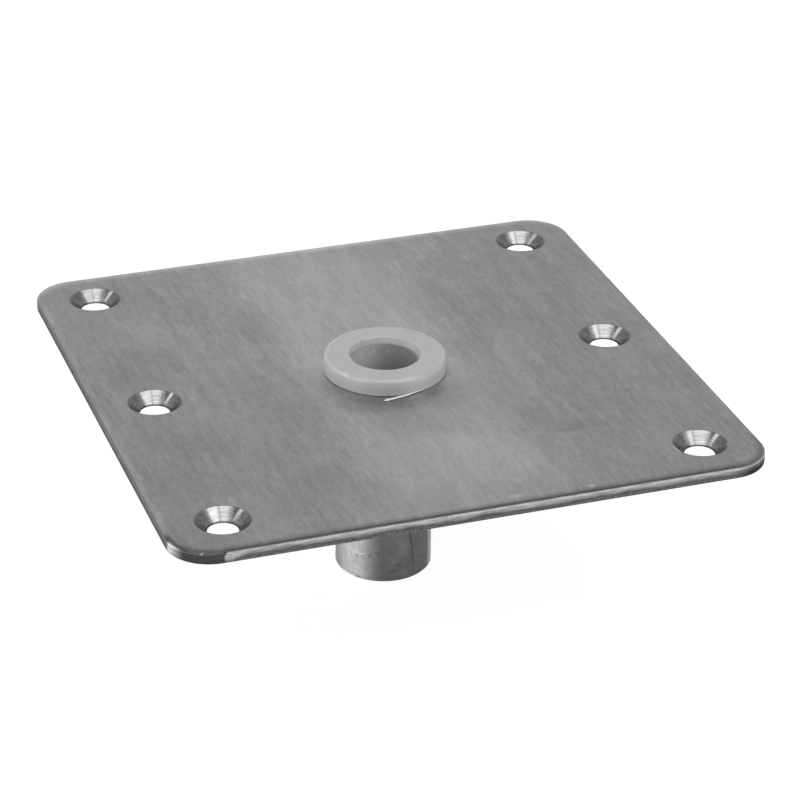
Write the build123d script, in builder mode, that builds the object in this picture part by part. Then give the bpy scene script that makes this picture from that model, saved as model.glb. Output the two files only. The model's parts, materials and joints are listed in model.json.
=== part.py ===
from build123d import *
import os
from math import atan2, hypot, pi, radians, tan

# Deck plate of a boat seat pedestal, in millimetres, with +Z up.
# The origin lies on the axis of the pin bore, in the plane of the plate's underside, which is the deck.
# X runs across the plate, from one row of screw holes to the other, and Y runs along the rows.
# The sizes of the socket follow one another outwards from the bore: sleeve, tube, flange and weld.

# Pin bore through the bushing, for a seat post with a 3/4 in pin
bore_diameter = 19.8
lead_in_width = 1.1
lead_in_depth = 1.8
lead_in_rounding = 0.4

# Moulded bushing: a sleeve that lines the tube, and a flange that lies on the plate
sleeve_wall = 2.5
sleeve_clearance = 0.1
sleeve_recess = 3.0
sleeve_outer_chamfer = 0.8
sleeve_inner_chamfer = 0.5
flange_overlap = 3.8
flange_height = 5.1
flange_draft = 4.0
flange_top_rounding = 1.0
flange_foot_chamfer = 0.3

# Socket tube, whose upper end fills the hole in the middle of the plate
tube_wall = 2.3
tube_drop = 62.8
tube_mouth_chamfer = 0.6
tube_end_outer_chamfer = 0.6
tube_end_inner_chamfer = 0.4

# Deck plate: a square of stainless sheet, blanked and punched from above
plate_side = 177.8
plate_thickness = 3.57
plate_corner_radius = 12.7
roll_width = 2.0
roll_depth = 0.65
crown_share = 0.65
lip_share = 0.2

# Countersunk screw holes: two rows of three
hole_inset_x = 17.45
hole_inset_y = 16.55
holes_per_row = 3
screw_hole_diameter = 8.9
screw_hole_land = 0.17
countersink_angle = 90.0

# Weld under the plate: the hole's lower edge is bevelled, and the bead fills the bevel and climbs the tube
weld_bevel_width = 2.4
weld_bevel_depth = 2.2
weld_leg = 2.0

# Sizes that follow from those above
bore_radius = bore_diameter / 2
sleeve_radius = bore_radius + sleeve_wall
tube_inner_radius = sleeve_radius + sleeve_clearance
tube_radius = tube_inner_radius + tube_wall
flange_foot_radius = tube_radius + flange_overlap
flange_top_radius = flange_foot_radius - flange_height * tan(radians(flange_draft))
flange_top = plate_thickness + flange_height
sleeve_bottom = sleeve_recess - tube_drop
row_spacing = plate_side - 2 * hole_inset_x
hole_spacing = (plate_side - 2 * hole_inset_y) / (holes_per_row - 1)
countersink_depth = plate_thickness - screw_hole_land
countersink_radius = screw_hole_diameter / 2 + countersink_depth * tan(radians(countersink_angle / 2))

# The roll is a shallow slope, rounded where it leaves the top face and where it meets the edge.
# Each rounding takes its share of the slope's width.
roll_angle = atan2(roll_depth, roll_width)
roll_face = hypot(roll_width, roll_depth)
crown_radius = crown_share * roll_face / tan(roll_angle / 2)
lip_radius = lip_share * roll_face / tan((pi / 2 - roll_angle) / 2)

# Corners of the weld groove's section, as distances from the bore's axis and heights
groove_root = (tube_radius, weld_bevel_depth)
groove_toe = (tube_radius + weld_bevel_width, 0)


# Deck plate
with BuildPart() as deck_plate:
    with BuildSketch():
        RectangleRounded(plate_side, plate_side, plate_corner_radius)
    extrude(amount=plate_thickness)

    # The punch drags the top edge down all round
    top_face = deck_plate.faces().sort_by(Axis.Z)[-1]
    chamfer(top_face.edges(), roll_width, roll_depth, reference=top_face)
    crown_edges = deck_plate.faces().sort_by(Axis.Z)[-1].edges()
    fillet(crown_edges, crown_radius)
    lip_edges = deck_plate.edges().filter_by_position(
        Axis.Z, plate_thickness - roll_depth, plate_thickness - roll_depth
    )
    fillet(lip_edges, lip_radius)

    # Middle hole, a tight fit round the tube, with the bevel for the weld
    with Locations((0, 0, plate_thickness)):
        Hole(tube_radius)
    with BuildSketch(Plane.XZ):
        with BuildLine():
            Polyline(groove_root, groove_toe, (tube_radius, 0), close=True)
        make_face()
    revolve(axis=Axis.Z, mode=Mode.SUBTRACT)

    with Locations((0, 0, plate_thickness)):
        with GridLocations(row_spacing, hole_spacing, 2, holes_per_row):
            CounterSinkHole(
                radius=screw_hole_diameter / 2,
                counter_sink_radius=countersink_radius,
                depth=plate_thickness,
                counter_sink_angle=countersink_angle,
            )

deck_plate.part.label = "deck_plate"


# Socket tube, flush with the top of the plate and open at both ends
with BuildPart() as socket_tube:
    with BuildSketch(Plane.XY.offset(-tube_drop)):
        Circle(tube_radius)
        Circle(tube_inner_radius, mode=Mode.SUBTRACT)
    extrude(amount=tube_drop + plate_thickness)

    ends = socket_tube.edges().filter_by(GeomType.CIRCLE).group_by(Axis.Z)
    foot_inner_edge, foot_outer_edge = ends[0].sort_by(SortBy.RADIUS)
    mouth_inner_edge = ends[-1].sort_by(SortBy.RADIUS)[0]
    chamfer(mouth_inner_edge, tube_mouth_chamfer)
    chamfer(foot_inner_edge, tube_end_inner_chamfer)
    chamfer(foot_outer_edge, tube_end_outer_chamfer)

socket_tube.part.label = "socket_tube"


# Weld bead: it fills the bevel and slopes from the plate to the tube
with BuildPart() as weld_bead:
    with BuildSketch(Plane.XZ):
        with BuildLine():
            Polyline(groove_root, groove_toe, (tube_radius, -weld_leg), close=True)
        make_face()
    revolve(axis=Axis.Z)

weld_bead.part.label = "weld_bead"


# Pin bushing: one moulding, turned about the bore
with BuildPart() as pin_bushing:
    with BuildSketch(Plane.XZ):
        with BuildLine():
            Polyline(
                (bore_radius, sleeve_bottom),
                (sleeve_radius, sleeve_bottom),
                (sleeve_radius, plate_thickness),
                (flange_foot_radius, plate_thickness),
                (flange_top_radius, flange_top),
                (bore_radius + lead_in_width, flange_top),
                (bore_radius, flange_top - lead_in_depth),
                close=True,
            )
        make_face()
    revolve(axis=Axis.Z)

    rings = pin_bushing.edges().filter_by(GeomType.CIRCLE).group_by(Axis.Z)
    sleeve_inner_edge, sleeve_outer_edge = rings[0].sort_by(SortBy.RADIUS)
    foot_edge = rings[1].sort_by(SortBy.RADIUS)[-1]
    mouth_edge, rim_edge = rings[-1].sort_by(SortBy.RADIUS)
    chamfer(sleeve_inner_edge, sleeve_inner_chamfer)
    chamfer(sleeve_outer_edge, sleeve_outer_chamfer)
    chamfer(foot_edge, flange_foot_chamfer)
    fillet(mouth_edge, lead_in_rounding)
    fillet(rim_edge, flange_top_rounding)

pin_bushing.part.label = "pin_bushing"


os.makedirs("parts", exist_ok=True)
export_step(deck_plate.part, "parts/deck_plate.step")
export_step(socket_tube.part, "parts/socket_tube.step")
export_step(weld_bead.part, "parts/weld_bead.step")
export_step(pin_bushing.part, "parts/pin_bushing.step")
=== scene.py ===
import json
import math

import bpy
import numpy as np
from mathutils import Matrix, Vector

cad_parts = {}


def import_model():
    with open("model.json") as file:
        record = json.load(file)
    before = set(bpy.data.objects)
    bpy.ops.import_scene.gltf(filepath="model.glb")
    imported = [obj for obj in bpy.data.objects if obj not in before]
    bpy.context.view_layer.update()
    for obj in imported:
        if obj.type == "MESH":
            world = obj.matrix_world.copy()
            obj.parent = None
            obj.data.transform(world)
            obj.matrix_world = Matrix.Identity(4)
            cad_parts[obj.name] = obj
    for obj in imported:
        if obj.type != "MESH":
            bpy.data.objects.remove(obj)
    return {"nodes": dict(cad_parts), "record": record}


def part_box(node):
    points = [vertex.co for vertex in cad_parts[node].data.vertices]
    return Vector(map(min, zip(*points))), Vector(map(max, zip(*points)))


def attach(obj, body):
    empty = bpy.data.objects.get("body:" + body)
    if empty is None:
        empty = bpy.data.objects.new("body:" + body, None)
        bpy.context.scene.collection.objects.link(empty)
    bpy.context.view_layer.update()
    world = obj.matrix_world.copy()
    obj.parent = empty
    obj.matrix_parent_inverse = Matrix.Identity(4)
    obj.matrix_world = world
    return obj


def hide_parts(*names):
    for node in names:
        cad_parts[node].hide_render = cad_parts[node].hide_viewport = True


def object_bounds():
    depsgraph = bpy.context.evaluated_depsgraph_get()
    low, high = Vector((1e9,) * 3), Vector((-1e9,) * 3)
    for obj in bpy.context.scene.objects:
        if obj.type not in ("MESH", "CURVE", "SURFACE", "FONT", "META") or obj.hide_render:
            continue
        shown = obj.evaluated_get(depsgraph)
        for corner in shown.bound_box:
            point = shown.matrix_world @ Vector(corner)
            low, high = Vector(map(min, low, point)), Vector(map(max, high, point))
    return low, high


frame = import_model()
cad_low, cad_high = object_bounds()


# Deck plate
# A square of stainless sheet, brushed one way on top, then blanked and punched from above. The punch rolls
# the top edge down and leaves the side burnished above and torn below. The six screw holes are countersunk
# with a turning cutter, which leaves fine rings in their cones. The bright fans and dark flanks in the
# cones, and the light rims, dark lines and shaded parts along the edge, are painted highlights and painted
# shade.

# Sizes in millimetres, of which MM make a metre
MM = 1000.0
plate_high = np.array(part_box("deck_plate")[1]) * MM
mounts = {mount["name"]: mount["dims"] for mount in frame["record"]["mounts"]}
half_side = plate_high[0]
plate_top = plate_high[2]
corner_radius = 12.7
roll_depth = 0.65
row_offset = mounts["corner_screws"]["spacing_x_mm"] / 2
hole_step = mounts["corner_screws"]["spacing_y_mm"] / 2
hole_radius = mounts["corner_screws"]["hole_r_mm"]
cone_width = 3.4
cone_radius = hole_radius + cone_width
flange_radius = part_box("pin_bushing")[1][0] * MM
out_of_reach = 1000.0

# Headings, in degrees clockwise from +Y seen from above: to the right in the photograph, towards the
# camera, and five that belong to the cones
right_heading = 109.0
near_heading = 199.0
fan_heading = 11.5
fan_left = -17.5
fan_right = 19.3
line_heading = 7.0
streak_heading = 57.0


def add(tree, kind, inputs=(), **settings):
    """Adds a shader node with its settings. An input is a plain value or another node's output."""
    made = tree.nodes.new("ShaderNode" + kind)
    for name, value in settings.items():
        setattr(made, name, value)
    pairs = inputs.items() if isinstance(inputs, dict) else enumerate(inputs)
    for key, value in pairs:
        if isinstance(value, bpy.types.NodeSocket):
            tree.links.new(value, made.inputs[key])
        else:
            made.inputs[key].default_value = value
    return made


def calc(tree, operation, *values):
    """The result of a Math node."""
    return add(tree, "Math", values, operation=operation).outputs[0]


def times(tree, product, *factors):
    """The product of all the numbers given."""
    for factor in factors:
        product = calc(tree, "MULTIPLY", product, factor)
    return product


def plus(tree, first, second):
    """The sum of two numbers."""
    return calc(tree, "ADD", first, second)


def minus(tree, first, second):
    """The first number less the second."""
    return calc(tree, "SUBTRACT", first, second)


def vector_calc(tree, operation, *values):
    """The result of a Vector Math node, which is a number for a length and a vector otherwise."""
    made = add(tree, "VectorMath", values, operation=operation)
    return made.outputs["Value" if operation == "LENGTH" else "Vector"]


def ramp(tree, value, start, end, low=0.0, high=1.0):
    """Goes smoothly from low, where the value is at start, to high, where it is at end."""
    limits = {"Value": value, "From Min": start, "From Max": end, "To Min": low, "To Max": high}
    return add(tree, "MapRange", limits, interpolation_type="SMOOTHSTEP").outputs[0]


def mix(tree, share, first, second):
    """A number that goes from first to second as the share goes from 0 to 1."""
    return add(tree, "Mix", {0: share, 2: first, 3: second}).outputs[0]


def mix_vectors(tree, share, first, second):
    """A vector or colour that goes from first to second as the share goes from 0 to 1."""
    return add(tree, "Mix", {0: share, 4: first, 5: second}, data_type="VECTOR").outputs[1]


def noise(tree, place, lump, detail, roughness=0.5):
    """Soft noise from 0 to 1, whose lumps have their own size along each axis of the place."""
    read = vector_calc(tree, "DIVIDE", place, lump)
    inputs = {"Vector": read, "Scale": 1.0, "Detail": detail, "Roughness": roughness}
    return add(tree, "TexNoise", inputs).outputs["Fac"]


def split(tree, vector):
    """The three numbers of a vector."""
    return add(tree, "SeparateXYZ", [vector]).outputs


def join(tree, x, y, z):
    """A vector made of three numbers."""
    return add(tree, "CombineXYZ", [x, y, z]).outputs[0]


def swing(tree, lumps, depth):
    """Turns noise into a tone that swings round 1, further with the depth."""
    return plus(tree, times(tree, minus(tree, lumps, 0.5), times(tree, depth, 2.0)), 1.0)


def new_group(name, inputs, outputs):
    """An empty shader group with named inputs, given as name and starting value, and named outputs."""
    group = bpy.data.node_groups.new(name, "ShaderNodeTree")
    for label, value in inputs.items():
        kind = "NodeSocketVector" if isinstance(value, tuple) else "NodeSocketFloat"
        group.interface.new_socket(name=label, in_out="INPUT", socket_type=kind).default_value = value
    for label in outputs:
        group.interface.new_socket(name=label, in_out="OUTPUT", socket_type="NodeSocketFloat")
    return group, group.nodes.new("NodeGroupInput").outputs, group.nodes.new("NodeGroupOutput").inputs


# Brushed strokes: lines along the Y of the place that is read, wide ones with finer ones among them
finer_by = (3.1, 1.7, 3.1)
finer_share = 0.4
strokes, given, result = new_group(
    "brushed_strokes", {"Place": (0.0, 0.0, 0.0), "Width": 0.5, "Length": 5.0, "Depth": 0.1},
    ["Tone", "Height"],
)
stroke_lump = join(strokes, given["Width"], given["Length"], given["Width"])
wide_lines = noise(strokes, given["Place"], stroke_lump, 1.0)
finer_lines = noise(strokes, vector_calc(strokes, "MULTIPLY", given["Place"], finer_by), stroke_lump, 2.0)
stroke_height = mix(strokes, finer_share, wide_lines, finer_lines)
strokes.links.new(swing(strokes, stroke_height, given["Depth"]), result["Tone"])
strokes.links.new(stroke_height, result["Height"])

# Mottle: soft clouds in the tone of a surface
mottle, given, result = new_group(
    "mottle", {"Place": (0.0, 0.0, 0.0), "Size": 20.0, "Depth": 0.1}, ["Tone"]
)
cloud_lump = join(mottle, given["Size"], given["Size"], given["Size"])
cloud_noise = noise(mottle, given["Place"], cloud_lump, 3.0, 0.55)
mottle.links.new(swing(mottle, cloud_noise, given["Depth"]), result["Tone"])

# Mark: a soft-edged patch round a centre, with its own reach each way and its own turn about Z
mark_core = 0.3
mark, given, result = new_group(
    "mark", {"Place": (0.0, 0.0, 0.0), "Centre": (0.0, 0.0, 0.0), "Reach": (1.0, 1.0, 1.0), "Turn": 0.0},
    ["Mask"],
)
turned = join(mark, 0.0, 0.0, given["Turn"])
moved = {"Vector": given["Place"], "Location": given["Centre"], "Rotation": turned, "Scale": given["Reach"]}
local = add(mark, "Mapping", moved, vector_type="TEXTURE").outputs[0]
mark.links.new(ramp(mark, vector_calc(mark, "LENGTH", local), 1.0, mark_core), result["Mask"])


def new_material(name, metallic, roughness, anisotropy=0.0):
    """A material with one Principled shader. Gives back its tree, shader and place in millimetres."""
    material = bpy.data.materials.new(name)
    material.use_nodes = True
    tree = material.node_tree
    shader = tree.nodes["Principled BSDF"]
    shader.inputs["Metallic"].default_value = metallic
    shader.inputs["Roughness"].default_value = roughness
    shader.inputs["Anisotropic"].default_value = anisotropy
    read = add(tree, "TexCoord").outputs["Object"]
    return material, tree, shader, vector_calc(tree, "MULTIPLY", read, (MM, MM, MM))


def tinted(tree, tone, colour):
    """A colour scaled by a tone."""
    return add(tree, "VectorMath", {0: colour, 3: tone}, operation="SCALE").outputs[0]


def use(tree, group, **inputs):
    """Puts a shader group into a material and gives back its outputs."""
    return add(tree, "Group", inputs, node_tree=group).outputs


def marked(tree, tone, place, marks):
    """The tone with small marks laid over it, each with its centre, reach, turn and strength."""
    for centre, reach, turn, strength in marks:
        mask = use(tree, mark, Place=place, Centre=centre, Reach=reach, Turn=math.radians(turn))["Mask"]
        tone = times(tree, tone, mix(tree, mask, 1.0, strength))
    return tone


def heading(degrees):
    """A level direction, as degrees clockwise from +Y seen from above."""
    return (math.sin(math.radians(degrees)), math.cos(math.radians(degrees)), 0.0)


def along(tree, vector, direction):
    """How far a vector reaches along a direction."""
    return add(tree, "VectorMath", [vector, direction], operation="DOT_PRODUCT").outputs["Value"]


def level(tree, vector):
    """The vector without its height."""
    return vector_calc(tree, "MULTIPLY", vector, (1.0, 1.0, 0.0))


# How the strokes on the top lean and waver
stroke_lean = 0.035
waver_lump = (40.0, 40.0, 40.0)
waver_reach = 4.5


def leaning(tree, place):
    """The place with its X shifted, so that strokes read there lean a little and waver."""
    x, y, z = split(tree, place)
    waver = minus(tree, noise(tree, place, waver_lump, 1.0), 0.5)
    shift = plus(tree, times(tree, y, stroke_lean), times(tree, waver, waver_reach))
    return join(tree, plus(tree, x, shift), y, z)


# Zones of the sheet by X, Y or Z. Each of them, like every other fade below, is where it starts and ends,
# and then its values there, unless they are 0 and 1.
front_zone = (-74.0, -80.0)
front_skew = 0.05
left_zone = (-84.0, -87.0)
round_corner_zone = (-73.0, -77.0)
corner_left_zone = (-75.0, -76.5)
corner_front_zone = (-83.5, -85.5)
underside_zone = (0.08, 0.03)
plain_side = (0.3, 0.05)
rolled_side = (0.65, 0.4)


def plate_zones(tree, place):
    """Masks of the sheet's zones, and the way from the lip. The way is how far a point lies in from the
    outline of the rounded square, less how far it lies below the lip, so it is negative down the side."""
    x, y, z = split(tree, place)
    straight = half_side - corner_radius
    size = vector_calc(tree, "ABSOLUTE", place)
    past = vector_calc(tree, "SUBTRACT", size, (straight, straight, out_of_reach))
    past_x, past_y, _ = split(tree, past)
    outside = vector_calc(tree, "LENGTH", vector_calc(tree, "MAXIMUM", past, (0.0, 0.0, 0.0)))
    inside = calc(tree, "MINIMUM", calc(tree, "MAXIMUM", past_x, past_y), 0.0)
    inset = minus(tree, corner_radius, plus(tree, outside, inside))
    below_lip = calc(tree, "MINIMUM", minus(tree, z, plate_top - roll_depth), 0.0)
    way = plus(tree, inset, below_lip)

    front = ramp(tree, minus(tree, y, times(tree, x, front_skew)), *front_zone)
    left = ramp(tree, x, *left_zone)
    round_corner = times(tree, left, ramp(tree, y, *round_corner_zone))
    shows_roll = calc(tree, "MAXIMUM", front, round_corner)
    return {
        "way": way,
        "front": front,
        "left": left,
        "round_corner": round_corner,
        "corner": times(tree, ramp(tree, x, *corner_left_zone), ramp(tree, y, *corner_front_zone)),
        "shows_roll": shows_roll,
        "side": mix(tree, shows_roll, ramp(tree, inset, *plain_side), ramp(tree, way, *rolled_side)),
        "under": ramp(tree, z, *underside_zone),
    }


# Rings round the screw holes, 4.5 to a millimetre outwards, and where the right-hand row takes over
ring_lump = (1 / 4.5, 1 / 0.3, 1 / 0.3)
right_row_zone = (-1.0, 1.0)


def hole_places(tree, place):
    """The place round the axis of the nearest screw hole, its distance and direction, and noise in rings
    round that axis. The row is 0 in the left-hand row of holes and 1 in the right-hand one."""
    x, y, _ = split(tree, place)
    hole_x = minus(tree, x, times(tree, calc(tree, "SIGN", x), row_offset))
    hole_y = minus(tree, y, calc(tree, "SNAP", plus(tree, y, hole_step / 2), hole_step))
    offset = join(tree, hole_x, hole_y, 0.0)
    distance = vector_calc(tree, "LENGTH", offset)
    return {
        "offset": offset,
        "distance": distance,
        "outward": vector_calc(tree, "NORMALIZE", offset),
        "rings": noise(tree, join(tree, distance, hole_x, hole_y), ring_lump, 1.0),
        "row": ramp(tree, x, *right_row_zone),
    }


# Brushed top: a dull stripe at each side and a brighter band between them
band_left = (-33.0, -16.0)
band_right = (32.0, 17.0)
band_front = (-84.0, -64.0, 0.285, 0.325)
band_back = (84.0, 60.0, 0.95, 1.03)
band_calm = 0.28
stripes_along = (-60.0, 50.0, 0.244, 0.252)
left_stripe = (-80.0, -28.0, 0.97, 1.04)
right_stripe = (20.0, 60.0, 1.0, 0.94)
fine_strokes = {"Width": 0.5, "Length": 3.4, "Depth": 0.46}
middle_strokes = {"Width": 1.4, "Length": 9.0, "Depth": 0.29}
broad_strokes = {"Width": 4.5, "Length": 50.0, "Depth": 0.2}
broad_clouds = {"Size": 26.0, "Depth": 0.22}
small_clouds = {"Size": 7.0, "Depth": 0.1}


def top_tone(tree, place, grain, fine, clouds):
    """Tone of the brushed top: stripes and band, under strokes of three sizes and clouds of two."""
    x, y, _ = split(tree, place)
    band = times(tree, ramp(tree, x, *band_left), ramp(tree, x, *band_right))
    stripes_tone = times(
        tree, ramp(tree, y, *stripes_along), ramp(tree, x, *left_stripe), ramp(tree, x, *right_stripe)
    )
    band_tone = times(tree, ramp(tree, y, *band_front), ramp(tree, y, *band_back))
    middle = use(tree, strokes, Place=grain, **middle_strokes)
    broad = use(tree, strokes, Place=grain, **broad_strokes)
    patches = use(tree, mottle, Place=place, **small_clouds)
    brushing = times(tree, fine["Tone"], middle["Tone"], broad["Tone"], clouds["Tone"], patches["Tone"])
    calm = times(tree, band, band_calm)
    return times(tree, mix(tree, band, stripes_tone, band_tone), mix(tree, calm, brushing, 1.0))


# Rolled edge, toned with painted light and shade, by the way from the lip
front_shade_fall = (3.2, 1.4, 1.0, 0.74)
left_rim_highlight = (2.8, 1.2)
left_highlight_gain = 1.18
back_zone = (80.0, 85.0)
back_rim_highlight = (5.5, 0.3)
back_highlight_gain = 1.5
dark_line_reach = (1.9, 0.9)
dark_line_tone = 0.09
corner_line_tone = (0.9, 0.5, 0.11, 0.18)
right_line_zone = (74.0, 79.0)
right_line_tone = 0.13


def rolled_edge(tree, place, tone, fine, zones):
    """Lays painted light and shade over the tone at the roll: a soft fall into shade at the front, a painted
    highlight as a light rim at the left and back, and a dark line above the lip along the front and round
    the corner, which is a painted reflection."""
    x, y, _ = split(tree, place)
    way = zones["way"]
    fall = mix(tree, zones["front"], 1.0, ramp(tree, way, *front_shade_fall))
    rise = times(tree, minus(tree, zones["left"], zones["round_corner"]), ramp(tree, way, *left_rim_highlight))
    back = times(tree, ramp(tree, y, *back_zone), ramp(tree, way, *back_rim_highlight))
    tone = times(
        tree, tone, fall, mix(tree, rise, 1.0, left_highlight_gain), mix(tree, back, 1.0, back_highlight_gain)
    )
    line = mix(tree, zones["corner"], dark_line_tone, ramp(tree, way, *corner_line_tone))
    line = mix(tree, ramp(tree, x, *right_line_zone), line, right_line_tone)
    dark_line = times(tree, zones["shows_roll"], ramp(tree, way, *dark_line_reach))
    return mix(tree, dark_line, tone, times(tree, fine["Tone"], line))


# Side, by the way down from the lip, with painted shade on the left side, at the right of the front and on
# the lip
wobble_lump = (9.0, 9.0, 3.0)
wobble_reach = 2.2
upright_lump = (0.7, 0.7, 5.0)
level_lump = (5.0, 5.0, 0.45)
level_share = 0.86
corner_lift = (-69.0, -75.0, 0.0, 0.8)
burnish = (-2.15, -0.15, 0.17, 0.65)
burnish_streaks = (0.35, 0.65, 0.78, 1.22)
torn_reach = (-1.9, -2.3)
torn_lump = (0.8, 0.8, 0.4)
torn_crumbs = (0.3, 0.7, 0.14, 0.35)
left_side_zone = (-80.5, -78.5)
left_side_shade = (-2.6, -0.3, 0.125, 0.235)
left_side_streaks = (0.3, 0.7, 0.85, 1.15)
shade_zone = (74.5, 81.0)
shade_reach = (0.0, -0.6)
shade_tone = 0.3
lip_reach = (-0.3, 0.3)
lip_shade = 0.34
corner_lip_shade = 0.7

# Patch at the front left corner, a painted highlight with wavy ends, which fades darker round the corner
corner_patch_wave = 1.8
corner_patch_bulge = 0.35
corner_patch_middle = 1.3
corner_patch_right = (-75.3, -75.9)
corner_patch_left = (-77.4, -79.0)
corner_patch_along = (-79.5, -84.6, 0.9, 0.1)
corner_patch_streaks = (0.3, 0.7, 0.8, 1.2)


def side_tone(tree, place, grain, zones, crumbs):
    """Tone of the blanked side: bright and burnished under the lip, then dull, then torn at the foot, with
    painted shade on the left side, at the right of the front and on the lip, and a painted highlight at the
    front left corner. Gives back the tone and the drop below the lip, which wobbles."""
    x, y, z = split(tree, place)
    way = zones["way"]
    wobble = minus(tree, noise(tree, place, wobble_lump, 4.0), 0.5)
    upright_streaks = noise(tree, grain, upright_lump, 2.0)
    level_streaks = noise(tree, place, level_lump, 3.0)
    streak = mix(tree, level_share, upright_streaks, level_streaks)
    drop = plus(tree, way, times(tree, wobble, wobble_reach))
    drop = plus(tree, drop, times(tree, zones["front"], ramp(tree, x, *corner_lift)))

    burnished = times(tree, ramp(tree, drop, *burnish), ramp(tree, streak, *burnish_streaks))
    torn = ramp(tree, crumbs, *torn_crumbs)
    tone = mix(tree, ramp(tree, drop, *torn_reach), burnished, torn)
    # Painted shade: the left side is darker, with streaks of grain
    on_left = times(tree, zones["left"], ramp(tree, y, *left_side_zone))
    left_shade_tone = times(tree, ramp(tree, drop, *left_side_shade), ramp(tree, streak, *left_side_streaks))
    tone = mix(tree, on_left, tone, left_shade_tone)
    # Painted shade at the right of the front, towards the lip
    shade = times(tree, zones["front"], ramp(tree, x, *shade_zone), ramp(tree, way, *shade_reach))
    tone = times(tree, tone, mix(tree, shade, 1.0, shade_tone))

    # The painted highlight at the front left corner
    wave = times(tree, wobble, corner_patch_wave)
    bulge = times(tree, calc(tree, "POWER", minus(tree, z, corner_patch_middle), 2.0), corner_patch_bulge)
    right_end = ramp(tree, minus(tree, plus(tree, x, wave), bulge), *corner_patch_right)
    left_end = ramp(tree, plus(tree, y, wave), *corner_patch_left)
    corner_patch_tone = times(tree, ramp(tree, y, *corner_patch_along), ramp(tree, streak, *corner_patch_streaks))
    tone = mix(tree, times(tree, right_end, left_end), tone, corner_patch_tone)
    # Painted shade that damps the lip, less at the front left corner
    at_lip = mix(tree, zones["corner"], lip_shade, corner_lip_shade)
    return times(tree, tone, ramp(tree, way, *lip_reach, 1.0, at_lip)), drop


# Cones, toned mostly with painted highlights and painted shade. A pair that is by row holds the value of the
# left-hand row and of the right-hand one.
cone_edge = 0.06
own_lump = (31.0, 23.0, out_of_reach)
fan_start_by_row = (-0.36, -0.2)
fan_full_by_row = (0.14, 0.12)
fan_end = (1.8, 1.3)
fan_taper = 0.14
fan_wander = 0.5
fan_rings = (0.3, 0.7, 0.22, 0.32)
fan_left_edge = (0.3, 0.42)
fan_left_gain = (60.0, -60.0, 0.9, 1.3)
fan_left_gain_right_row = 1.15
fan_gain = 0.98
line_reach = (0.997, 0.9995)
line_tone = 0.75
streak_middle = 6.3
streak_lean = 0.045
streak_shift_by_row = (-0.05, 0.05)
streak_half_width_by_row = (0.115, 0.16)
streak_core = 0.045
streak_foot = (4.8, 5.4, 0.0, 0.9)
streak_gain = 1.4
smear_lump = (0.9, 0.9, 0.6)
dull_smears = (0.35, 0.65, 0.07, 0.14)
dull_outward = (5.0, 7.0, 1.55, 1.1)
land_reach = (hole_radius + 0.4, hole_radius + 0.15)
land_tone = 0.06
rim_radius = cone_radius + 0.08
rim_reach = (0.22, 0.06)
rim_height = (3.0, 3.3)
rim_tone = 0.15


def cone_tone(tree, place, holes):
    """Tone of the turned cones, painted light over rings all round: a painted highlight in a fan to the back
    and front, with a painted dark reflection as a line in it and a painted highlight as a lone streak beside
    it, painted shade to the sides, and a painted dark line at the foot."""
    _, y, _ = split(tree, place)
    offset, distance, outward = holes["offset"], holes["distance"], holes["outward"]
    rings, row = holes["rings"], holes["row"]
    facing = calc(tree, "SIGN", along(tree, outward, heading(fan_heading)))

    # The ways past the fan's edges, seen from the hole's axis. The right edge wanders with the rings and by
    # a number that each hole has of its own, and lies a millimetre further right in the right-hand row.
    own = noise(tree, vector_calc(tree, "SUBTRACT", place, offset), own_lump, 0.0)
    past_left = times(tree, facing, along(tree, outward, heading(fan_left + 90.0)))
    past_right = times(tree, facing, along(tree, offset, heading(fan_right + 90.0)))
    past_right = minus(tree, past_right, times(tree, distance, fan_taper))
    past_right = minus(tree, past_right, row)
    past_right = plus(tree, past_right, times(tree, minus(tree, rings, own), fan_wander))
    fan_starts = ramp(tree, past_left, mix(tree, row, *fan_start_by_row), mix(tree, row, *fan_full_by_row))
    fan = times(tree, fan_starts, ramp(tree, past_right, *fan_end))
    line = ramp(tree, calc(tree, "ABSOLUTE", along(tree, outward, heading(line_heading))), *line_reach)

    # The lone streak, a painted highlight, which leans a little more with the way out
    past_streak = times(tree, facing, along(tree, outward, heading(streak_heading + 90.0)))
    lean = times(tree, minus(tree, distance, streak_middle), streak_lean)
    past_streak = minus(tree, past_streak, plus(tree, lean, mix(tree, row, *streak_shift_by_row)))
    half_width = mix(tree, row, *streak_half_width_by_row)
    streak = ramp(tree, calc(tree, "ABSOLUTE", past_streak), half_width, streak_core)
    streak = times(tree, streak, ramp(tree, distance, *streak_foot))

    # Painted shade on the flanks, made lighter towards the hole where the cone shades itself
    smears = noise(tree, place, smear_lump, 3.0)
    dull = ramp(tree, mix(tree, 0.5, smears, rings), *dull_smears)
    dull = times(tree, dull, ramp(tree, distance, *dull_outward))
    left_gain = mix(tree, row, ramp(tree, y, *fan_left_gain), fan_left_gain_right_row)
    bright = times(
        tree, ramp(tree, rings, *fan_rings), mix(tree, line, 1.0, line_tone),
        ramp(tree, past_left, *fan_left_edge, left_gain, fan_gain), mix(tree, streak, 1.0, streak_gain),
    )
    tone = mix(tree, calc(tree, "MAXIMUM", fan, streak), dull, bright)
    # A painted dark line of shade at the foot of the cone
    return mix(tree, ramp(tree, distance, *land_reach), tone, land_tone)


# Painted light on the plate round the flange's foot, as if the milky flange let light through, most of all
# on the right
glow_reach = (flange_radius + 4.0, flange_radius - 0.4)
glow_near = (2.0, 11.0)
glow_gain = (-2.0, 13.0, 1.12, 1.6)


def flange_glow(tree, place, from_axis):
    """What the painted light round the flange's foot does to the plate's tone."""
    near = ramp(tree, along(tree, place, heading(near_heading)), *glow_near)
    gain = ramp(tree, along(tree, place, heading(right_heading)), *glow_gain)
    return mix(tree, times(tree, ramp(tree, from_axis, *glow_reach), near), 1.0, gain)


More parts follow.
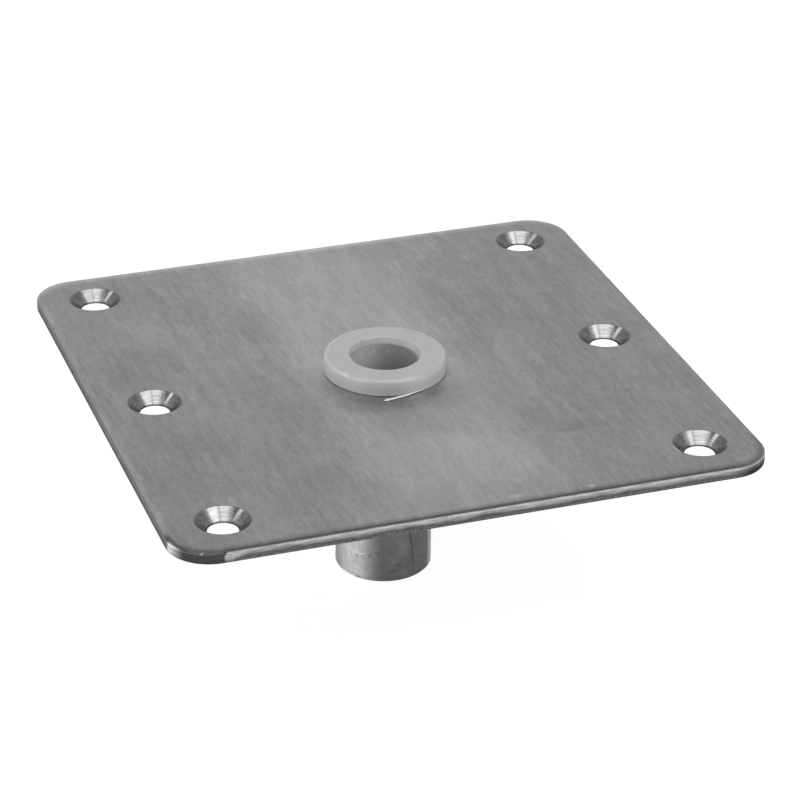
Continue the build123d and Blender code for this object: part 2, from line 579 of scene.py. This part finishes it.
# Underside: mill finish, with the colours of heat round the weld
mill_tone = 0.36
soot_lump = (5.0, 5.0, 5.0)
soot_reach = 4.0
straw_reach = (28.0, 23.0)
blue_reach = (23.0, 20.5)
steel_colour = (1.0, 1.0, 1.01)
straw_colour = (1.0, 0.83, 0.6)
blue_colour = (0.6, 0.66, 0.85)


def heat_colour(tree, place, from_axis, under):
    """Steel, with rings of straw and blue on the underside round the weld."""
    heat = plus(tree, from_axis, times(tree, noise(tree, place, soot_lump, 3.0), soot_reach))
    straw = times(tree, under, ramp(tree, heat, *straw_reach))
    blue = times(tree, under, ramp(tree, heat, *blue_reach))
    return mix_vectors(tree, blue, mix_vectors(tree, straw, steel_colour, straw_colour), blue_colour)


# Roughness and relief
brushed_roughness = (0.3, 0.7, 0.38, 0.44)
cone_roughness = 0.27
side_roughness = (-2.0, -1.0, 0.6, 0.48)
mill_roughness = 0.5
stroke_relief = 0.15
ring_relief = 0.25
plate_bump = {"Strength": 0.3, "Distance": 0.0001}
stroke_direction = (1.0, 0.05, 0.0)

# Small marks on top, a real scuff and otherwise painted highlights and painted shade: centre, reach, turn in
# degrees, and what they do to the tone
top_marks_and_painted_light = (
    # A faint scuff at the right front
    ((37.5, -53.0, plate_top), (7.5, 1.8, 9.0), -4.0, 0.86),
    ((44.0, -51.6, plate_top), (13.0, 4.0, 9.0), -2.5, 0.92),
    ((43.0, -55.6, plate_top), (12.0, 2.6, 9.0), -2.5, 1.05),
    # Painted highlights: spots on the front lip, at the front left corner and on the rims of the right front
    # cone
    ((10.0, -84.7, 3.5), (3.4, 1.2, 9.0), 3.0, 1.22),
    ((32.4, -85.9, 3.4), (1.4, 1.1, 9.0), 0.0, 1.5),
    ((-81.9, -87.4, 3.0), (1.1, 0.6, 0.5), 25.0, 2.8),
    ((63.55, -73.4, 3.5), (0.5, 2.9, 1.5), 7.5, 2.1),
    ((78.7, -75.2, 3.5), (0.5, 1.2, 1.5), -21.5, 1.9),
    # Painted light and shade round the front of the flange: lifted shadow at its left front and foot, a
    # painted reflection of the flange in front of it, and painted shade at its left and right front
    ((-14.0, -16.5, plate_top), (14.0, 7.0, 9.0), -40.0, 1.14),
    ((3.0, -35.0, plate_top), (26.0, 17.0, 9.0), 0.0, 0.88),
    ((1.5, -21.6, plate_top), (10.0, 4.0, 9.0), 0.0, 1.25),
    ((-15.0, -20.5, plate_top), (10.0, 7.0, 9.0), -40.0, 0.8),
    ((14.0, -21.5, plate_top), (15.0, 9.5, 9.0), 40.0, 0.83),
)


def brushed_plate():
    """Bare steel, whose tone, roughness and relief go by zone: top, roll, side, cones and underside."""
    material, tree, shader, place = new_material(
        "brushed_plate", metallic=1.0, roughness=0.4, anisotropy=0.85
    )
    _, _, z = split(tree, place)
    zones = plate_zones(tree, place)
    side, under = zones["side"], zones["under"]
    holes = hole_places(tree, place)
    distance, rings = holes["distance"], holes["rings"]
    cone = ramp(tree, distance, cone_radius + cone_edge, cone_radius - cone_edge)
    cone = times(tree, cone, minus(tree, 1.0, under))
    from_axis = vector_calc(tree, "LENGTH", level(tree, place))
    grain = leaning(tree, place)
    fine = use(tree, strokes, Place=grain, **fine_strokes)
    clouds = use(tree, mottle, Place=place, **broad_clouds)
    crumbs = noise(tree, place, torn_lump, 3.0)

    tone = top_tone(tree, place, grain, fine, clouds)
    tone = rolled_edge(tree, place, tone, fine, zones)
    blanked_tone, drop = side_tone(tree, place, grain, zones, crumbs)
    tone = mix(tree, side, tone, blanked_tone)
    tone = mix(tree, cone, tone, cone_tone(tree, place, holes))
    # A painted dark line of shade round the rim of each cone, at its small edge break
    rim = ramp(tree, calc(tree, "ABSOLUTE", minus(tree, distance, rim_radius)), *rim_reach)
    tone = mix(tree, times(tree, rim, ramp(tree, z, *rim_height)), tone, rim_tone)
    tone = marked(tree, tone, place, top_marks_and_painted_light)
    tone = times(tree, tone, flange_glow(tree, place, from_axis))
    tone = mix(tree, under, tone, times(tree, clouds["Tone"], mill_tone))
    colour = heat_colour(tree, place, from_axis, under)
    tree.links.new(tinted(tree, tone, colour), shader.inputs["Base Color"])

    # The strokes lie along Y on top and round the holes in the cones
    slope = vector_calc(tree, "ADD", holes["outward"], (0.0, 0.0, 1.0))
    tree.links.new(mix_vectors(tree, cone, stroke_direction, slope), shader.inputs["Tangent"])

    rough = mix(tree, cone, ramp(tree, fine["Height"], *brushed_roughness), cone_roughness)
    rough = mix(tree, side, rough, ramp(tree, drop, *side_roughness))
    rough = mix(tree, under, rough, mill_roughness)
    tree.links.new(rough, shader.inputs["Roughness"])

    relief = mix(tree, side, times(tree, fine["Height"], stroke_relief), crumbs)
    relief = mix(tree, cone, relief, times(tree, rings, ring_relief))
    bump = add(tree, "Bump", {"Height": relief, **plate_bump})
    tree.links.new(bump.outputs[0], shader.inputs["Normal"])
    return material


def finish_node(node, material):
    """Gives a CAD node its material."""
    slots = frame["nodes"][node].data.materials
    slots.clear()
    slots.append(material)


finish_node("deck_plate", brushed_plate())


# Socket tube
# Drawn stainless tube that hangs down into the deck, welded under the middle of the plate. Its skin is
# smooth and a little scuffed.

# Sizes in millimetres
tube_low, tube_high = (np.array(corner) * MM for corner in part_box("socket_tube"))
tube_radius = tube_high[0]
tube_end = tube_low[2]

# Skin: clouded, with painted light and shade: brightest at the left, darker to the right, and a painted
# highlight along the right edge
bright_heading = -82.0
cloud_share = 0.12
skin_lump = (2.5, 2.5, 3.5)
skin_grain = {"Width": 2.0, "Length": 2.0, "Depth": 0.25}
painted_light_by_heading = (0.24, 0.7, 0.33, 0.77)
painted_shade_far_left = (0.8, 1.1, 1.0, 0.85)
painted_rim_highlight = (0.9, 0.965, 1.0, 2.4)
skin_clouds = (0.3, 0.7, 0.93, 1.07)
skin_bump = {"Strength": 0.2, "Distance": 0.0001}


def skin_and_painted_light(tree, place, outward, patch):
    """Painted light and shade by the heading round the tube, with a painted highlight at the right edge, and
    clouds and a short grain over it.
    """
    grain = use(tree, strokes, Place=place, **skin_grain)
    leftward = plus(tree, along(tree, outward, heading(bright_heading)), times(tree, patch, cloud_share))
    rim_highlight = ramp(tree, along(tree, outward, heading(right_heading)), *painted_rim_highlight)
    return times(
        tree, ramp(tree, leftward, *painted_light_by_heading), ramp(tree, leftward, *painted_shade_far_left), rim_highlight,
        ramp(tree, patch, *skin_clouds), grain["Tone"],
    )


# Curved bright scratch at the left, and the crumbs under it, by the way round the tube and the height
scratch_middle = (-36.0, -53.66)
scratch_bend = 0.049
scratch_left = (-41.8, -40.6)
scratch_right = (-32.8, -34.0)
scratch_width = (0.26, 0.08)
crumb_lump = (0.8, 0.8, 0.6)
crumb_share = (0.5, 0.66)
crumbs_above = (0.0, -0.4)
crumbs_below = (-2.2, -0.8)
crumbs_right = (-26.0, -30.0)
crumbs_left = (-41.0, -37.0)
crumbs_tone = 0.55


def scratched(tree, place, tone, round_it):
    """Lays the scratch and its crumbs over the tone. The scratch rises with the square of the way from its
    middle."""
    _, _, z = split(tree, place)
    bow = calc(tree, "POWER", minus(tree, round_it, scratch_middle[0]), 2.0)
    off = minus(tree, z, plus(tree, times(tree, bow, scratch_bend), scratch_middle[1]))
    reach = times(tree, ramp(tree, round_it, *scratch_left), ramp(tree, round_it, *scratch_right))
    scratch = times(tree, reach, ramp(tree, calc(tree, "ABSOLUTE", off), *scratch_width))
    tone = mix(tree, scratch, tone, 1.0)
    crumbs = times(
        tree, ramp(tree, off, *crumbs_above), ramp(tree, off, *crumbs_below),
        ramp(tree, round_it, *crumbs_right), ramp(tree, noise(tree, place, crumb_lump, 1.0), *crumb_share),
        ramp(tree, round_it, *crumbs_left),
    )
    return times(tree, tone, mix(tree, crumbs, 1.0, crumbs_tone))


# Dark run down the right of the front
run_middle = (-18.2, -52.9)
run_lean = 0.13
run_lump = (9.0, 9.0, 1.8)
run_waver = 0.9
run_width = (0.5, 0.1)
run_foot = (-60.0, -56.0)
run_top = (-42.0, -46.0)
run_tone = 0.62


def dark_run(tree, place, round_it):
    """What the dark run does to the tone. It leans with the height and wavers."""
    _, _, z = split(tree, place)
    off = plus(tree, round_it, times(tree, minus(tree, z, run_middle[1]), run_lean))
    off = plus(tree, off, times(tree, noise(tree, place, run_lump, 1.0), run_waver))
    run = ramp(tree, calc(tree, "ABSOLUTE", minus(tree, off, run_middle[0])), *run_width)
    run = times(tree, run, times(tree, ramp(tree, z, *run_foot), ramp(tree, z, *run_top)))
    return mix(tree, run, 1.0, run_tone)


# Small marks: centre and reach round and up the tube, turn in degrees, and what they do to the tone
tube_marks = (
    ((-23.5, -57.0, 0.0), (1.1, 1.0, 9.0), 0.0, 0.74),
    ((-24.5, -59.0, 0.0), (3.5, 1.0, 9.0), 8.0, 0.82),
    ((-36.0, -62.3, 0.0), (1.6, 0.8, 9.0), 0.0, 0.4),
    ((-22.0, -50.0, 0.0), (3.0, 7.0, 9.0), 0.0, 1.18),
)

# Worn line above the end, and a darker edge at the end
worn_height = tube_end + 1.4
worn_width = (0.35, 0.1)
worn_tone = 0.84
end_edge = (tube_end + 0.65, tube_end + 0.35, 1.0, 0.6)


def drawn_tube():
    """Smooth steel whose tone carries painted light and shade by the way round the tube, and goes by height,
    with the marks of handling.
    """
    material, tree, shader, place = new_material("drawn_tube", metallic=1.0, roughness=0.5, anisotropy=0.85)
    x, y, z = split(tree, place)
    outward = vector_calc(tree, "NORMALIZE", level(tree, place))
    round_it = times(tree, calc(tree, "ARCTAN2", y, x), tube_radius)
    patch = noise(tree, place, skin_lump, 4.0)

    tone = skin_and_painted_light(tree, place, outward, patch)
    tone = scratched(tree, place, tone, round_it)
    tone = times(tree, tone, dark_run(tree, place, round_it))
    tone = marked(tree, tone, join(tree, round_it, z, 0.0), tube_marks)
    worn = ramp(tree, calc(tree, "ABSOLUTE", minus(tree, z, worn_height)), *worn_width)
    tone = times(tree, tone, mix(tree, worn, 1.0, worn_tone), ramp(tree, z, *end_edge))
    tree.links.new(tinted(tree, tone, steel_colour), shader.inputs["Base Color"])

    # The fine lines of the skin lie round the tube
    tree.links.new(join(tree, 0.0, 0.0, 1.0), shader.inputs["Tangent"])
    bump = add(tree, "Bump", {"Height": patch, **skin_bump})
    tree.links.new(bump.outputs[0], shader.inputs["Normal"])
    return material


finish_node("socket_tube", drawn_tube())


# Weld bead
# A fillet of stainless weld metal that runs once round the tube under the plate. Each pulse of the torch
# leaves a crescent, and the bead fills the bevel in the plate.

# Corners of the bead's section, as distances from the axis and heights in millimetres
bead_low, bead_high = (np.array(corner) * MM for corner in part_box("weld_bead"))
bead_toe = np.array([bead_high[0], 0.0])
bead_leg = np.array([tube_radius, bead_low[2]])
bead_root = np.array([tube_radius, bead_high[2]])

# Swell of its face, and its ripples: their number round the tube, their height, and how far the crests lag
# at the edges, as an angle of the cosine
bead_swell = 0.3
ripple_count = 66
ripple_height = 0.09
ripple_bend = 2.2
steps_round_bead = 1320
steps_across_bead = 17

weld_tone = 0.4
weld_colour = (1.0, 0.97, 0.93)
weld_clouds = {"Size": 2.5, "Depth": 0.3}


def smooth_piece(name, points, faces, material):
    """A smooth mesh piece of the part's one body, from points in millimetres and faces of point numbers."""
    mesh = bpy.data.meshes.new(name)
    mesh.from_pydata(points / MM, [], faces)
    mesh.polygons.foreach_set("use_smooth", np.ones(len(faces), bool))
    mesh.materials.append(material)
    made = bpy.data.objects.new(name, mesh)
    bpy.context.scene.collection.objects.link(made)
    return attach(made, "root")


def ring_piece(name, points, material):
    """A ring from points[round, across, xyz] in millimetres, which closes on itself both ways."""
    number = np.arange(points.size // 3).reshape(points.shape[:2])
    ahead = np.roll(number, -1, axis=0)
    corners = (number, ahead, np.roll(ahead, -1, axis=1), np.roll(number, -1, axis=1))
    quads = np.stack(corners, axis=-1).reshape(-1, 4)
    return smooth_piece(name, points.reshape(-1, 3), quads.tolist(), material)


def weld_ripples():
    """The section's face runs from toe to leg and swells outward by a sine. Ripples raise it by a cosine of
    the angle round the tube. Their crests lag towards both edges by a square, so that each is a crescent.
    The section closes through the root of the bevel."""
    turn = np.linspace(0.0, 2.0 * math.pi, steps_round_bead, endpoint=False)[:, None]
    across = np.linspace(0.0, 1.0, steps_across_bead)[None, :]
    run = bead_leg - bead_toe
    outward = np.array([-run[1], run[0]]) / np.hypot(*run)
    outward = outward if outward[1] < 0 else -outward
    envelope = np.sin(math.pi * across)
    phase = ripple_count * turn + ripple_bend * (2.0 * across - 1.0) ** 2
    lift = bead_swell * envelope + ripple_height * np.sqrt(envelope) * np.cos(phase)
    radius = bead_toe[0] + run[0] * across + outward[0] * lift
    height = bead_toe[1] + run[1] * across + outward[1] * lift
    ones = np.ones_like(turn)
    radius = np.concatenate([radius, bead_root[0] * ones], axis=1)
    height = np.concatenate([height, bead_root[1] * ones], axis=1)
    return np.stack([radius * np.cos(turn), radius * np.sin(turn), height], axis=-1)


def weld_metal():
    """Bright metal with a faint heat tint."""
    material, tree, shader, place = new_material("weld_metal", metallic=1.0, roughness=0.3)
    clouds = use(tree, mottle, Place=place, **weld_clouds)
    tone = times(tree, clouds["Tone"], weld_tone)
    tree.links.new(tinted(tree, tone, weld_colour), shader.inputs["Base Color"])
    return material


bead = ring_piece("weld_ripples", weld_ripples(), weld_metal())
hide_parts("weld_bead")


# Pin bushing
# Moulded in natural nylon: a sleeve that lines the tube with a small clearance, and a flange that lies on
# the plate. The pin of a seat post turns in its bore.

# Sizes in millimetres
bore_radius = mounts["pin_bore"]["r_mm"]
flange_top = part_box("pin_bushing")[1][2] * MM
lead_in_depth = 1.8
mouth_foot = flange_top - lead_in_depth

# Nylon: faint clouds, and light that spreads in it by this length in metres, a little less for blue
nylon_tone = 0.46
nylon_colour = (1.0, 1.0, 0.985)
nylon_clouds = {"Size": 8.0, "Depth": 0.05}
spread_length = 0.003
spread_by_colour = (1.0, 1.0, 0.95)

# Bore, with painted light and shade: lighter to the left, darker to the right and downwards
bore_wall = (bore_radius + 0.25, bore_radius + 0.05)
bore_mouth = (mouth_foot, mouth_foot - 0.7)
bore_sideways = (-9.0, 4.0, 1.65, 0.88)
bore_downwards = (3.0, -2.0, 1.0, 0.8)

# Side of the flange, with painted light: lighter to the right, to the left and upwards
flank_wall = (flange_radius - 0.5, flange_radius - 0.25)
flank_right = (3.0, 12.0, 1.02, 1.26)
flank_left = (-3.0, -9.0, 1.0, 1.1)
flank_upwards = (5.2, 7.6, 1.0, 1.16)

# Specks in the mouth of the bore, and painted highlights as gleams on the flange's rim: centre, reach, turn
# in degrees, and what they do to the tone
specks_and_painted_gleams = (
    ((-4.6, 8.7, 4.4), (1.3, 1.3, 0.9), 0.0, 1.15),
    ((-0.3, 9.9, 4.4), (0.9, 0.9, 0.8), 0.0, 1.3),
    ((4.3, 8.9, 4.3), (0.9, 0.9, 0.7), 0.0, 1.35),
    ((6.0, 7.9, 4.2), (0.8, 0.8, 0.6), 0.0, 1.25),
    ((-1.6, 10.6, 8.4), (2.6, 1.2, 1.4), 10.0, 1.1),
    ((1.5, -17.7, 8.4), (6.0, 1.2, 1.2), 8.0, 1.13),
    ((-15.5, -9.2, 8.4), (2.6, 0.7, 1.0), -60.0, 1.2),
)


def natural_nylon():
    """Milky plastic that lets some light through, with painted light and shade in the bore and on the
    flange's side.
    """
    material, tree, shader, place = new_material("natural_nylon", metallic=0.0, roughness=0.3)
    _, _, z = split(tree, place)
    from_axis = vector_calc(tree, "LENGTH", level(tree, place))
    sideways = along(tree, place, heading(right_heading))
    clouds = use(tree, mottle, Place=place, **nylon_clouds)
    tone = times(tree, clouds["Tone"], nylon_tone)

    bore = times(tree, ramp(tree, from_axis, *bore_wall), ramp(tree, z, *bore_mouth))
    bore_light_and_shade = times(tree, ramp(tree, sideways, *bore_sideways), ramp(tree, z, *bore_downwards))
    tone = times(tree, tone, mix(tree, bore, 1.0, bore_light_and_shade))
    flank_painted_light = times(
        tree, ramp(tree, sideways, *flank_right), ramp(tree, sideways, *flank_left),
        ramp(tree, z, *flank_upwards),
    )
    tone = times(tree, tone, mix(tree, ramp(tree, from_axis, *flank_wall), 1.0, flank_painted_light))
    tone = marked(tree, tone, place, specks_and_painted_gleams)
    tree.links.new(tinted(tree, tone, nylon_colour), shader.inputs["Base Color"])

    shader.inputs["Subsurface Weight"].default_value = 1.0
    shader.inputs["Subsurface Radius"].default_value = spread_by_colour
    shader.inputs["Subsurface Scale"].default_value = spread_length
    return material


finish_node("pin_bushing", natural_nylon())


# Moulding flash
# A sliver of nylon squeezed out between the halves of the mould. It starts at the flange's foot, leaves it
# little by little and ends in a blunt tip on the plate.

# Where it starts and ends, in degrees from +X round the axis, and its sizes in millimetres
flash_start = -68.0
flash_end = -109.5
flash_peel = 2.9
flash_width = 0.62
flash_thickness = 0.24
root_lift = 0.35
tip_lift = 0.05

# Powers of the way gone, from 0 at the root to 1 at the tip, and the knob near the tip
peel_power = 2.2
root_power = 0.6
tip_power = 8
knob_place = 0.93
knob_reach = 0.05
knob_height = 0.5
plain_height = 0.95
steps_along_flash = 81
steps_round_flash = 16

flash_colour = (0.84, 0.84, 0.83)
flash_clouds = {"Size": 2.2, "Depth": 0.35}


def moulding_flash():
    """An ellipse carried along a path that leaves the foot's circle by a power of the way gone, and sinks
    evenly to the plate. The ellipse grows from nothing at the root by a power of the way, swells by a bell
    curve near the tip, and closes there by the square root of one less a high power."""
    gone = np.linspace(0.0, 1.0, steps_along_flash)[:, None]
    around = np.linspace(0.0, 2.0 * math.pi, steps_round_flash, endpoint=False)[None, :]
    angle = np.radians(flash_start + (flash_end - flash_start) * gone)
    taper = gone ** root_power * np.sqrt(np.clip(1.0 - gone ** tip_power, 0.0, 1.0))
    taper = taper * (plain_height + knob_height * np.exp(-((gone - knob_place) / knob_reach) ** 2))
    radius = flange_radius + flash_peel * gone ** peel_power + flash_width * taper * np.cos(around)
    lift = root_lift * (1.0 - gone) + tip_lift
    height = plate_top + flash_thickness + lift + flash_thickness * taper * np.sin(around)
    return np.stack([radius * np.cos(angle), radius * np.sin(angle), height], axis=-1)


def sliver_piece(name, points, material):
    """A closed sliver from points[along, around, xyz], whose first and last rings have shrunk to a point."""
    rows, columns = points.shape[:2]
    tips = points[[0, -1]].mean(axis=1)
    inner = points[1:-1].reshape(-1, 3)
    number = np.arange(len(inner)).reshape(rows - 2, columns)
    ahead = np.roll(number, -1, axis=1)
    quads = np.stack([number[:-1], ahead[:-1], ahead[1:], number[1:]], axis=-1).reshape(-1, 4)
    first, last = len(inner), len(inner) + 1
    start = np.stack([np.full(columns, first), ahead[0], number[0]], axis=-1)
    end = np.stack([np.full(columns, last), number[-1], ahead[-1]], axis=-1)
    faces = quads.tolist() + start.tolist() + end.tolist()
    return smooth_piece(name, np.vstack([inner, tips]), faces, material)


def thin_nylon():
    """The same milky plastic, so thin that it looks white."""
    material, tree, shader, place = new_material("thin_nylon", metallic=0.0, roughness=0.25)
    clouds = use(tree, mottle, Place=place, **flash_clouds)
    tree.links.new(tinted(tree, clouds["Tone"], flash_colour), shader.inputs["Base Color"])
    return material


flash = sliver_piece("moulding_flash", moulding_flash(), thin_nylon())


# Floor
# A pale floor under the tube's end. The camera sees it as white, with a faint shadow, and sees through it
# from below.

floor_level = cad_low.z
floor_half = 2.5
floor_glow = 0.94
floor_shade = 0.22
floor_paleness = 0.8


def matte(tree, tone):
    """A matte grey of that tone."""
    return add(tree, "BsdfDiffuse", {"Color": (tone, tone, tone, 1.0)}).outputs[0]


def floor_surface():
    """A white glow over a matte grey to a camera above the floor, and nothing to one below it. To all other
    rays, a paler matte grey."""
    material = bpy.data.materials.new("floor")
    material.use_nodes = True
    tree = material.node_tree
    tree.nodes.remove(tree.nodes["Principled BSDF"])
    glow = add(tree, "Emission", {"Color": (1.0, 1.0, 1.0, 1.0), "Strength": floor_glow}).outputs[0]
    shaded = matte(tree, floor_shade)
    pale = matte(tree, floor_paleness)
    clear = add(tree, "BsdfTransparent").outputs[0]
    camera_ray = add(tree, "LightPath").outputs["Is Camera Ray"]
    from_above = add(tree, "AddShader", [glow, shaded]).outputs[0]
    behind = add(tree, "NewGeometry").outputs["Backfacing"]
    to_camera = add(tree, "MixShader", [behind, from_above, clear]).outputs[0]
    both = add(tree, "MixShader", [camera_ray, pale, to_camera]).outputs[0]
    tree.links.new(both, tree.nodes["Material Output"].inputs["Surface"])
    return material


def floor():
    """A level square round the axis, wide enough to fill the picture."""
    mesh = bpy.data.meshes.new("floor")
    corners = [(-1, -1), (1, -1), (1, 1), (-1, 1)]
    mesh.from_pydata([(a * floor_half, b * floor_half, floor_level) for a, b in corners], [], [(0, 1, 2, 3)])
    mesh.materials.append(floor_surface())
    made = bpy.data.objects.new("floor", mesh)
    bpy.context.scene.collection.objects.link(made)


floor()


# Light
# A plain white surround, one large softbox overhead, and a narrow strip and a softbox at the left. They
# stand in for the studio that the photograph was lit in.

surround = 0.3
surround_seen = 1.0

# Name, centre, width and height in metres, and radiance
softboxes = (
    ("overhead_softbox", (0.05, -0.45, 1.1), 1.5, 0.9, 2.3),
    ("left_strip", (-0.85, 0.28, 0.85), 0.14, 0.6, 2.5),
    ("left_softbox", (-1.2, 0.1, 0.22), 1.6, 0.5, 1.8),
)


def world():
    """A surround that lights the piece dimly and looks white to the camera and in the metal."""
    made = bpy.data.worlds.new("studio")
    bpy.context.scene.world = made
    made.use_nodes = True
    tree = made.node_tree
    path = add(tree, "LightPath").outputs
    seen = calc(tree, "MAXIMUM", path["Is Camera Ray"], path["Is Glossy Ray"])
    seen = calc(tree, "MAXIMUM", seen, path["Is Transmission Ray"])
    background = tree.nodes["Background"].inputs
    tree.links.new(mix(tree, seen, surround, surround_seen), background["Strength"])
    background["Color"].default_value = (1.0, 1.0, 1.0, 1.0)


def softbox(name, centre, width, height, radiance):
    """A rectangular lamp of that radiance, which faces the middle of the plate and isn't seen itself."""
    lamp = bpy.data.lights.new(name, "AREA")
    lamp.shape = "RECTANGLE"
    lamp.size = width
    lamp.size_y = height
    lamp.energy = math.pi * width * height * radiance
    made = bpy.data.objects.new(name, lamp)
    made.location = centre
    made.rotation_mode = "QUATERNION"
    made.rotation_quaternion = Vector(centre).to_track_quat("Z", "Y")
    made.visible_camera = False
    bpy.context.scene.collection.objects.link(made)


world()
for box in softboxes:
    softbox(*box)


# Camera
# It stands where the photograph was taken from. Its distance, aim and clipping are in metres, and the width
# of its sensor is in millimetres.

view_azimuth, view_elevation, view_roll = np.radians([-19.305, 27.911, 0.666])
view_distance = 0.89907
view_aim = Vector((-0.00231, -0.02085, plate_top / MM))
focal_pixels = 3047.3
picture_width = 800
sensor_width = 36.0
clip_near = 0.05
clip_far = 50.0


def camera():
    """A camera that looks at its aim from an azimuth, elevation and distance, with a roll."""
    lens = bpy.data.cameras.new("camera")
    lens.sensor_width = sensor_width
    lens.lens = focal_pixels * sensor_width / picture_width
    lens.clip_start = clip_near
    lens.clip_end = clip_far
    back = Vector((
        math.sin(view_azimuth) * math.cos(view_elevation),
        -math.cos(view_azimuth) * math.cos(view_elevation),
        math.sin(view_elevation),
    ))
    roll = Matrix.Rotation(view_roll, 3, "Z").to_quaternion()
    made = bpy.data.objects.new("camera", lens)
    made.location = view_aim + back * view_distance
    made.rotation_mode = "QUATERNION"
    made.rotation_quaternion = (-back).to_track_quat("-Z", "Y") @ roll
    bpy.context.scene.collection.objects.link(made)
    bpy.context.scene.camera = made


camera()
bpy.context.scene.view_settings.view_transform = "Standard"
